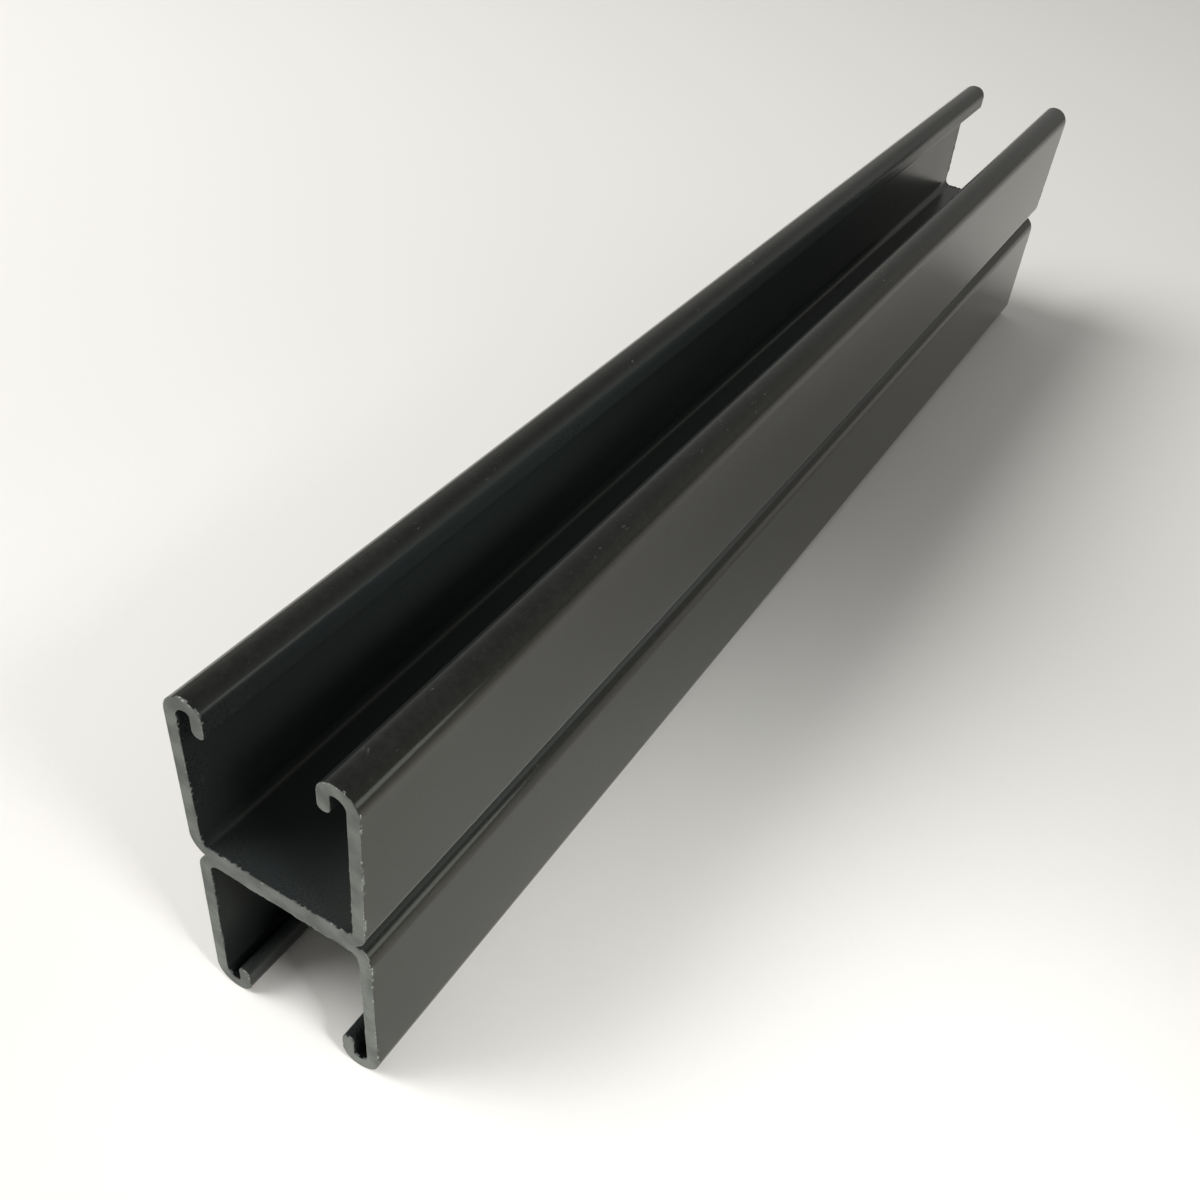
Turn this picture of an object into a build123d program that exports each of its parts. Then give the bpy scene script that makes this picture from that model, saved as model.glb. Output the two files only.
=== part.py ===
"""Back-to-back strut channel: two rolled steel channels welded web to web.

Both channels are the same lipped C rolled from one strip. The upper one opens upwards and the lower one
downwards. Millimetres, +Z up, the length along Y, the origin on the floor under the middle.
"""

import os

from build123d import *

os.makedirs("parts", exist_ok=True)

# The cut length
LENGTH = 406.4

# One channel, rolled from 12 gauge strip
WIDTH = 41.3            # across the flanges, between the sharp corners of the section
HEIGHT = 41.3           # back of the web to the crown of the flanges
WALL = 2.66             # strip thickness
WEB_BEND_INNER = 2.2    # inside radius where the web turns into a side wall
CROWN_BEND_INNER = 2.3  # inside radius where a side wall turns into its flange
LIP_BEND_INNER = 0.8    # inside radius where a flange curls down into its lip
FLANGE_FLAT = 0.3       # flat left between the two bends of a flange
LIP_STRAIGHT = 4.2      # straight part of the lip below its bend
WALL_FLARE = 0.5        # how far each side wall springs outwards from web to flange

# How the two channels sit on each other
SIDE_STEP = 0.5         # sideways mismatch of the two webs
END_SETBACK = 0.5       # how much shorter the lower channel is cut

web_bend = WEB_BEND_INNER + WALL
crown_bend = CROWN_BEND_INNER + WALL
lip_bend = LIP_BEND_INNER + WALL
flange_width = crown_bend + FLANGE_FLAT + lip_bend
lip_depth = lip_bend + LIP_STRAIGHT
lip_end_radius = 0.45 * WALL


def channel_section():
    """The lipped C, with the back of its web on local Y = 0 and its slot on the +Y side."""
    web_corner = (WIDTH / 2 - WALL_FLARE, 0)
    crown_corner = (WIDTH / 2, HEIGHT)
    lip_corner = (WIDTH / 2 - flange_width, HEIGHT)
    lip_end = (WIDTH / 2 - flange_width, HEIGHT - lip_depth)
    right_side = [web_corner, crown_corner, lip_corner, lip_end]
    left_side = [(-x, y) for x, y in reversed(right_side)]

    def at(*corners):
        """The skin's vertices at these corners and their mirror images."""
        spots = [(round(abs(x), 3), round(y, 3)) for x, y in corners]
        return skin.vertices().filter_by(lambda v: (round(abs(v.X), 3), round(v.Y, 3)) in spots)

    with BuildSketch() as section:
        with BuildLine() as skin:
            Polyline(*left_side, *right_side)
            fillet(at(web_corner), radius=web_bend)
            fillet(at(crown_corner), radius=crown_bend)
            fillet(at(lip_corner), radius=lip_bend)
            offset(amount=WALL, side=Side.LEFT)
        make_face()
        strip_edges = section.vertices().filter_by(lambda v: abs(v.Y - lip_end[1]) < 0.01)
        fillet(strip_edges, radius=lip_end_radius)
    return section.sketch


section = channel_section()

# Upper channel: its web stands on the lower one's, its slot opens upwards
upper_far_end = Plane(
    origin=(-SIDE_STEP / 2, LENGTH / 2, HEIGHT),
    x_dir=(1, 0, 0),
    z_dir=(0, -1, 0),
)
with BuildPart() as upper_channel:
    with BuildSketch(upper_far_end):
        add(section)
    extrude(amount=LENGTH)

# Lower channel: the same section turned over, so that its slot opens downwards
lower_far_end = Plane(
    origin=(SIDE_STEP / 2, LENGTH / 2, HEIGHT),
    x_dir=(-1, 0, 0),
    z_dir=(0, -1, 0),
)
with BuildPart() as lower_channel:
    with BuildSketch(lower_far_end):
        add(section)
    extrude(amount=LENGTH - END_SETBACK)

upper_channel.part.label = "upper_channel"
export_step(upper_channel.part, "parts/upper_channel.step")
lower_channel.part.label = "lower_channel"
export_step(lower_channel.part, "parts/lower_channel.step")
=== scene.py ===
"""Looks for the back-to-back strut channel: its coat, its sawn ends, the floor, the lamps and the camera."""
import math

import bmesh
import bpy
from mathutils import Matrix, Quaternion, Vector, noise


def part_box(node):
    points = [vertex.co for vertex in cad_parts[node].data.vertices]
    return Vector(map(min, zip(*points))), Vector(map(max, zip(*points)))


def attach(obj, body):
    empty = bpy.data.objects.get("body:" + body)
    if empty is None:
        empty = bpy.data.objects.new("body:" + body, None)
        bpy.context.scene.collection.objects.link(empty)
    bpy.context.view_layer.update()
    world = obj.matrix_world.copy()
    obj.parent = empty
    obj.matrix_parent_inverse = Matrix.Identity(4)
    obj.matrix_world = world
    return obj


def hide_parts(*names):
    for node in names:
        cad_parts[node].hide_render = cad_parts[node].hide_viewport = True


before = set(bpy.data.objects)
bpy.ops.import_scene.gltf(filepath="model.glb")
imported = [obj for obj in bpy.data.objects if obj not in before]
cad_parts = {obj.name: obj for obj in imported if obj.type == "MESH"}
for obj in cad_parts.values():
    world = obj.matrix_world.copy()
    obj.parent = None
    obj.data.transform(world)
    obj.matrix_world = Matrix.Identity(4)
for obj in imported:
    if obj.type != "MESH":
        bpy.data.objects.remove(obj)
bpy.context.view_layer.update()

MM = 0.001

# The rolled strip, as the part's source has it
WALL = 2.66 * MM
WEB_BEND = 2.2 * MM         # inside radii of the bends
CROWN_BEND = 2.3 * MM
LIP_BEND = 0.8 * MM
FLANGE_FLAT = 0.3 * MM
LIP_STRAIGHT = 4.2 * MM
WALL_FLARE = 0.5 * MM
LIP_END_ROUND = 0.45 * WALL

# The pair of channels, web to web
WEB_BACK = 41.3 * MM        # where the two webs meet, above the floor
HALF_LENGTH = 203.2 * MM
HOLLOW_DEPTH = 38.2 * MM    # from the web's back

# Where the hollow's dust and painted fill light end: it is whole up to the first distance and gone from the
# second
HOLLOW_ACROSS = (18.5 * MM, 18.8 * MM)      # from the middle, inside the side walls' thickness
HOLLOW_UP = (37.9 * MM, HOLLOW_DEPTH)       # from the web's back, inside the crowns' thickness
SLOT_ACROSS = (12.7 * MM, 14.5 * MM)        # the same on the slot's lips, up to their bends
SLOT_UP = (39.4 * MM, 41.1 * MM)
DUST_AND_FILL_FADE = 120 * MM        # the dust and the painted fill light thin out over this length towards each end
CHIP_REACH = 14 * MM        # how far in from a cut its chips lie
SEAM_GRIME = (0.1 * MM, 0.4 * MM)           # the grime on a cut, from where the webs meet

# How finely the strip is drawn
BEND_STEPS = 14
LIP_END_STEPS = 7
RIM_SPACING = 0.28 * MM     # between the points round a cut end
SPAN = 17 * MM              # between the rings along the length
END_RINGS = (0.15 * MM, 0.4 * MM, 0.9 * MM, 2.5 * MM, 7 * MM)
SAME_RING = 0.01 * MM       # a point this near a ring is on it

# What the saw leaves at the ends
EDGE_BREAK = 0.1 * MM       # how far the edge of a cut stands back from its face
EDGE_BAND = 0.2 * MM        # width of that broken edge
BURR_RUN = 0.9 * MM         # length of one burr along the edge
INNER_BURR = 0.5 * MM       # height of the burrs on the edges that face the hollow
OUTER_BURR = 0.1 * MM       # and on the skin side
BURR_DROP = 34 * MM         # the burrs shrink over this height above the web, where the saw came out
LEAST_BURR = 0.25           # share that is left of the inner ones at the crowns and lips
BURR_FADE = (1.0, 0.75, 0.3)    # share of the height that the end ring and the next two take
BARE_BURR = 0.3             # share of the full height from which the coat has flaked off
CUT_FACING = 0.2            # a face that looks this much along the length is bare steel
UPPER_SEED, LOWER_SEED = 0.315, 0.13    # which give each channel burrs of its own

# Colours
COAT_DEEP = (0.0085, 0.0094, 0.009, 1)
COAT_FILM = (0.0155, 0.0166, 0.0158, 1)
# painted warm reflection: tints the coat's reflections warm in place of warm reflected surroundings
COAT_SHEEN = (1, 0.955, 0.78, 1)
# painted fill light mixed with dust: the hollow's colour is lifted in place of light that its shade lacks,
# more so deeper in
THIN_DUST_AND_FILL_LIGHT = (0.022, 0.0255, 0.0255, 1)
DEEP_DUST_AND_FILL_LIGHT = (0.053, 0.063, 0.062, 1)
FLECK = (0.22, 0.22, 0.21, 1)
STEEL_DULL = (0.115, 0.126, 0.117, 1)
STEEL_BRIGHT = (0.2, 0.216, 0.2, 1)
STEEL_WORN = (0.55, 0.57, 0.54, 1)
GRIME = (0.03, 0.033, 0.03, 1)
FLOOR_PALE = (0.95, 0.932, 0.885, 1)

# The room's light by the height that it comes from: 0 is level, 1 is straight above
ROOM_LIGHT = (
    (0.0, (0.33, 0.325, 0.31)),
    (0.3, (0.43, 0.425, 0.41)),
    (0.55, (0.36, 0.357, 0.35)),
    (0.75, (0.28, 0.28, 0.28)),
)


class Socket:
    """A node's output that sums can be written with: an expression on values adds its Math nodes."""

    def __init__(self, tree, output=None):
        self.tree = tree
        self.output = output

    def node(self, kind, inputs=None, output=0, stops=None, **settings):
        """A new node: its settings and ramp stops first, then the values or links of its sockets."""
        made = self.tree.nodes.new("ShaderNode" + kind)
        for name, value in settings.items():
            setattr(made, name, value)
        if stops:
            ramp = made.color_ramp.elements
            while len(ramp) < len(stops):
                ramp.new(1.0)
            for stop, (place, colour) in zip(ramp, stops):
                stop.position = place
                stop.color = (*colour, 1.0)
        for name, value in (inputs or {}).items():
            if isinstance(value, Socket):
                self.tree.links.new(value.output, made.inputs[name])
            else:
                made.inputs[name].default_value = value
        return Socket(self.tree, made.outputs[output] if made.outputs else None)

    def math(self, operation, *values):
        return self.node("Math", dict(enumerate(values)), operation=operation)

    def __add__(self, other):
        return self.math("ADD", self, other)

    def __sub__(self, other):
        return self.math("SUBTRACT", self, other)

    def __rsub__(self, other):
        return self.math("SUBTRACT", other, self)

    def __mul__(self, other):
        return self.math("MULTIPLY", self, other)

    __radd__ = __add__
    __rmul__ = __mul__

    def __abs__(self):
        return self.math("ABSOLUTE", self)

    def axis(self, letter):
        """The X, Y or Z of a vector."""
        return self.node("SeparateXYZ", {0: self}, output=letter)

    def between(self, low, high):
        """0 at low and below, 1 at high and above."""
        return self.node("MapRange", {"Value": self, "From Min": low, "From Max": high}, clamp=True)

    def mix(self, first, second):
        """The first colour where this is 0, the second where it is 1."""
        inputs = {0: self, 6: first, 7: second}
        return self.node("Mix", inputs, output=2, data_type="RGBA")

    def grain(self, size, detail=2.0, roughness=0.5, stretch=(1, 1, 1), seed=(0, 0, 0)):
        """Noise on Object coordinates whose lumps are about this size."""
        place = self.node("TexCoord", output="Object")
        scale = tuple(along / size for along in stretch)
        place = self.node("Mapping", {"Vector": place, "Location": seed, "Scale": scale})
        inputs = {"Vector": place, "Scale": 1.0, "Detail": detail, "Roughness": roughness}
        return self.node("TexNoise", inputs)


def new_material(name):
    """An empty material and the maker of its nodes."""
    material = bpy.data.materials.new(name)
    material.use_nodes = True
    material.node_tree.nodes.clear()
    return material, Socket(material.node_tree)


def finish_material(make, **inputs):
    """Closes a material with one Principled shader; its sockets are given with _ for each space."""
    sockets = {name.replace("_", " "): value for name, value in inputs.items()}
    shader = make.node("BsdfPrincipled", sockets)
    make.node("OutputMaterial", {"Surface": shader})


def black_coat():
    """Glossy black paint with a fine orange peel and a mottled film, its reflections tinted warm as a painted
    warm reflection; dusty in the hollows, with painted fill light lifting their shade most away from the
    ends; flecked on top.
    """
    material, make = new_material("black_coat_gloss")
    place = make.node("TexCoord", output="Object")
    across = abs(place.axis("X"))
    along = abs(place.axis("Y"))
    from_web = abs(place.axis("Z") - WEB_BACK)
    inside = (1 - across.between(*HOLLOW_ACROSS)) * (1 - from_web.between(*HOLLOW_UP))
    in_slot = (1 - across.between(*SLOT_ACROSS)) * (1 - from_web.between(*SLOT_UP))
    hollow = make.math("MAXIMUM", inside, in_slot)

    peel = make.grain(2.2 * MM, detail=1.0)
    speckle = make.grain(0.5 * MM, detail=3.0, roughness=0.6)
    cloud = make.grain(38 * MM, detail=3.0)
    film = make.grain(1.6 * MM, detail=5.0, roughness=0.65, seed=(8, 4, 6)).between(0.42, 0.72)
    coat = (0.5 * cloud + 0.5 * film).between(0.15, 0.7).mix(COAT_DEEP, COAT_FILM)
    # painted fill light with dust: lighter in the hollow away from the ends, where its shade is deepest
    dust_and_fill_light = along.between(HALF_LENGTH, HALF_LENGTH - DUST_AND_FILL_FADE).mix(THIN_DUST_AND_FILL_LIGHT, DEEP_DUST_AND_FILL_LIGHT)
    colour = hollow.mix(coat, dust_and_fill_light)

    up = make.node("NewGeometry", output="Normal").axis("Z")
    flakes = make.grain(0.8 * MM, detail=1.0, stretch=(1, 0.45, 1), seed=(5, 2, 7)).between(0.68, 0.78)
    scattered = make.grain(14 * MM, detail=2.0, seed=(3, 1, 4)).between(0.54, 0.66)
    on_top = up.between(0.5, 0.9) * (1 - hollow)
    near_cuts = hollow * along.between(HALF_LENGTH - CHIP_REACH, HALF_LENGTH) * 0.7
    fleck = flakes * scattered * (on_top + near_cuts)
    colour = (fleck * 0.5).mix(colour, FLECK)

    roughness = 0.08 + 0.06 * cloud + 0.03 * speckle + 0.3 * fleck + 0.16 * hollow
    relief = peel * 0.75 + speckle * 0.25
    bump = make.node("Bump", {"Height": relief, "Strength": 0.25, "Distance": 0.05 * MM})
    finish_material(
        make, Base_Color=colour, Roughness=roughness, IOR=1.42, Specular_Tint=COAT_SHEEN, Normal=bump,
    )
    return material


def sawn_steel():
    """Bare grey steel with fine saw lines, bright worn spots on its edges and grime where the webs meet."""
    material, make = new_material("sawn_steel_end")
    lines = make.grain(0.35 * MM, detail=2.0, stretch=(0.06, 1, 1))
    cloud = make.grain(6 * MM, detail=3.0)
    colour = cloud.between(0.4, 0.6).mix(STEEL_DULL, STEEL_BRIGHT)

    facing = abs(make.node("NewGeometry", output="Normal").axis("Y"))
    spots = make.grain(0.7 * MM, detail=1.0, seed=(2, 6, 1)).between(0.56, 0.66)
    worn = (1 - facing.between(0.85, 0.95)) * spots
    colour = worn.mix(colour, STEEL_WORN)

    from_seam = abs(make.node("TexCoord", output="Object").axis("Z") - WEB_BACK)
    grime = (1 - from_seam.between(*SEAM_GRIME)) * cloud.between(0.35, 0.55)
    colour = (grime * 0.5).mix(colour, GRIME)

    roughness = 0.5 + 0.15 * cloud
    bump = make.node("Bump", {"Height": lines, "Strength": 0.4, "Distance": 0.06 * MM})
    finish_material(make, Base_Color=colour, Metallic=0.75, Roughness=roughness, Normal=bump)
    return material


def pale_floor():
    """Matt warm white."""
    material, make = new_material("pale_floor")
    finish_material(make, Base_Color=FLOOR_PALE, Roughness=0.9, Specular_IOR_Level=0.1)
    return material


def strip_corners(width, height):
    """The sharp corners of one side of the section and the radius of each, skin side first, then inside."""
    crown_skin = CROWN_BEND + WALL
    lip_skin = LIP_BEND + WALL
    edge = width / 2 - (crown_skin + FLANGE_FLAT + lip_skin)
    lip_end = height - (lip_skin + LIP_STRAIGHT)
    skin = [
        Vector((width / 2 - WALL_FLARE, 0)),
        Vector((width / 2, height)),
        Vector((edge, height)),
        Vector((edge, lip_end)),
    ]
    path = [Vector((0, 0)), *skin]
    turned_in = []
    for before, corner, after in zip(path, path[1:], path[2:]):
        inward = [Vector((-run.y, run.x)).normalized() for run in (corner - before, after - corner)]
        turned_in.append(corner + WALL * (inward[0] + inward[1]) / (1 + inward[0].dot(inward[1])))
    turned_in.append(skin[-1] + Vector((WALL, 0)))
    skin_radii = (WEB_BEND + WALL, crown_skin, lip_skin, LIP_END_ROUND)
    inner_radii = (WEB_BEND, CROWN_BEND, LIP_BEND, LIP_END_ROUND)
    return list(zip(skin, skin_radii)), list(zip(turned_in, inner_radii))


def draw_section(bm, width, height):
    """One flat face with the outline of the lipped strip, in the plane y = 0, slot upwards."""
    skin, turned_in = strip_corners(width, height)
    right = skin + turned_in[::-1]
    left = [(Vector((-spot.x, spot.y)), radius) for spot, radius in right[::-1]]
    corners = [(bm.verts.new((spot.x, 0, spot.y)), radius) for spot, radius in right + left]
    bm.faces.new([corner for corner, _ in corners])
    for radius in sorted({radius for _, radius in corners}):
        spots = [corner for corner, of_radius in corners if of_radius == radius]
        steps = LIP_END_STEPS if radius == LIP_END_ROUND else BEND_STEPS
        bmesh.ops.bevel(
            bm, geom=spots, offset=radius, offset_type="OFFSET", segments=steps, profile=0.5,
            affect="VERTICES", clamp_overlap=False, material=-1,
        )
    for edge in list(bm.edges):
        cuts = int(edge.calc_length() / RIM_SPACING) - 1
        if cuts > 0:
            bmesh.ops.subdivide_edges(bm, edges=[edge], cuts=cuts)


def burr_height(spot):
    """How far the saw's burr stands up here, 0 where the edge is clean and 1 at a tall flake."""
    teeth = noise.noise(spot / BURR_RUN)
    splinters = noise.noise(spot / (0.45 * BURR_RUN))
    patches = noise.noise(spot / (7 * BURR_RUN))
    ragged = 0.45 + 1.0 * teeth + 0.3 * splinters
    patchy = 0.5 + 1.4 * patches
    return max(0.0, min(1.0, ragged)) * max(0.15, min(1.0, patchy))


def raise_burrs(bm, low_y, high_y, seed):
    """Breaks the edge of both cuts and raises ragged burrs round them, the tall ones bare steel."""
    cuts = [face for face in bm.faces if len(face.verts) > 4]
    bmesh.ops.inset_region(
        bm, faces=cuts, thickness=EDGE_BAND, depth=EDGE_BREAK, use_even_offset=True,
    )
    bm.normal_update()
    hollow_middle = Vector((0, 0, HOLLOW_DEPTH / 2))
    burr_rings = list(zip((0, *END_RINGS), BURR_FADE))
    burrs = {}
    for vert in bm.verts:
        reach = min(vert.co.y - low_y, high_y - vert.co.y) - EDGE_BREAK
        shares = [share for ring, share in burr_rings if abs(reach - ring) < SAME_RING]
        if not shares:
            continue
        away = Vector((vert.normal.x, 0, vert.normal.z)).normalized()
        faces_hollow = away.dot(hollow_middle - vert.co) > 0
        full, least = (INNER_BURR, LEAST_BURR) if faces_hollow else (OUTER_BURR, 0.0)
        full *= max(least, 1 - vert.co.z / BURR_DROP)
        height = burr_height(Vector((vert.co.x, math.copysign(seed, vert.co.y), vert.co.z)))
        burrs[vert] = (away * full * height * shares[0], height)
    for vert, (lift, _) in burrs.items():
        vert.co += lift
    for face in bm.faces:
        if all(burrs.get(vert, (None, 0.0))[1] > BARE_BURR for vert in face.verts):
            face.material_index = 1


def sweep(bm, rings):
    """Draws the flat face out along the length through these places and closes the far end."""
    near_face = bm.faces[:][0]
    rim = list(near_face.edges)
    bmesh.ops.translate(bm, verts=near_face.verts, vec=(0, rings[0], 0))
    for here, there in zip(rings, rings[1:]):
        drawn = bmesh.ops.extrude_edge_only(bm, edges=rim)["geom"]
        points = [part for part in drawn if isinstance(part, bmesh.types.BMVert)]
        rim = [part for part in drawn if isinstance(part, bmesh.types.BMEdge)]
        bmesh.ops.translate(bm, verts=points, vec=(0, there - here, 0))
    bmesh.ops.contextual_create(bm, geom=rim)
    bmesh.ops.recalc_face_normals(bm, faces=bm.faces)


def roll_channel(node, slot_up, materials):
    """One channel as it comes off the rolls, sawn to length, in the place of its node."""
    low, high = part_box(node)
    width, height = high.x - low.x, high.z - low.z
    near, far = low.y + EDGE_BREAK, high.y - EDGE_BREAK
    rings = [near + step for step in (0, *END_RINGS)]
    inner = far - near - 2 * END_RINGS[-1]
    spans = round(inner / SPAN)
    rings += [rings[-1] + inner * (step + 1) / spans for step in range(spans)]
    rings += [far - step for step in END_RINGS[-2::-1]] + [far]

    bm = bmesh.new()
    draw_section(bm, width, height)
    sweep(bm, rings)
    raise_burrs(bm, low.y, high.y, UPPER_SEED if slot_up else LOWER_SEED)
    for face in bm.faces:
        if abs(face.normal.y) > CUT_FACING:
            face.material_index = 1
        else:
            face.smooth = True
    if not slot_up:
        turn = Quaternion((0, 1, 0), math.pi).to_matrix()
        bmesh.ops.rotate(bm, verts=bm.verts, cent=(0, 0, 0), matrix=turn)
    base = low.z if slot_up else high.z
    bmesh.ops.translate(bm, verts=bm.verts, vec=((low.x + high.x) / 2, 0, base))

    mesh = bpy.data.meshes.new(node + "_rolled")
    bm.to_mesh(mesh)
    bm.free()
    for material in materials:
        mesh.materials.append(material)
    piece = bpy.data.objects.new(node + "_rolled", mesh)
    bpy.context.scene.collection.objects.link(piece)
    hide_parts(node)
    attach(piece, "root")


def lay_floor(material):
    """A round floor at height 0, wide enough to reach the horizon."""
    bm = bmesh.new()
    bmesh.ops.create_circle(bm, cap_ends=True, radius=6.0, segments=96)
    mesh = bpy.data.meshes.new("floor")
    bm.to_mesh(mesh)
    bm.free()
    mesh.materials.append(material)
    floor = bpy.data.objects.new("floor", mesh)
    bpy.context.scene.collection.objects.link(floor)


def hang_lamp(name, place, target, size, power, spread=180, colour=(1, 1, 1)):
    """A round lamp that looks at its target: metres across, watts, and its spread in degrees."""
    data = bpy.data.lights.new(name, "AREA")
    data.shape = "DISK"
    data.size = size
    data.energy = power
    data.color = colour
    data.spread = math.radians(spread)
    lamp = bpy.data.objects.new(name, data)
    lamp.location = place
    lamp.rotation_mode = "QUATERNION"
    lamp.rotation_quaternion = (Vector(target) - Vector(place)).to_track_quat("-Z", "Y")
    bpy.context.scene.collection.objects.link(lamp)


def light_room():
    """A dim room, brightest a little above the horizon and dimmest overhead."""
    world = bpy.data.worlds.new("room")
    bpy.context.scene.world = world
    world.use_nodes = True
    world.node_tree.nodes.clear()
    make = Socket(world.node_tree)
    height = make.node("TexCoord", output="Generated").axis("Z")
    tone = make.node("ValToRGB", {0: height}, stops=ROOM_LIGHT)
    glow = make.node("Background", {"Color": tone, "Strength": 1.0})
    make.node("OutputWorld", {"Surface": glow})


def place_camera(place, target, tilt, lens, shift):
    """The camera: its tilt in degrees about the line of sight, its lens in millimetres."""
    data = bpy.data.cameras.new("camera")
    data.lens = lens
    data.shift_x, data.shift_y = shift
    data.clip_start = 0.01
    camera = bpy.data.objects.new("camera", data)
    camera.location = place
    camera.rotation_mode = "QUATERNION"
    look = (Vector(target) - Vector(place)).to_track_quat("-Z", "Y")
    camera.rotation_quaternion = look @ Quaternion((0, 0, 1), math.radians(tilt))
    bpy.context.scene.collection.objects.link(camera)
    bpy.context.scene.camera = camera


finishes = [black_coat(), sawn_steel()]
roll_channel("upper_channel", True, finishes)
roll_channel("lower_channel", False, finishes)

lay_floor(pale_floor())
light_room()
hang_lamp("key", (-1.0, -0.58, 1.3), (0, 0, 0), size=1.2, power=23.5)
hang_lamp("side", (0.42, -0.27, 0.34), (0.08, -0.18, 0), size=0.18, power=0.095, spread=34)
hang_lamp(
    "window", (0.88, 0.25, 0.17), (0, -0.2, 0.08), size=0.32, power=0.065, spread=60,
    colour=(0.84, 0.94, 1),
)
place_camera(
    (0.1055, -0.2977, 0.2318), (0.0106, -0.1009, 0.0413), tilt=7.42, lens=37.72,
    shift=(-0.0167, 0.0167),
)
bpy.context.scene.view_settings.view_transform = "Standard"
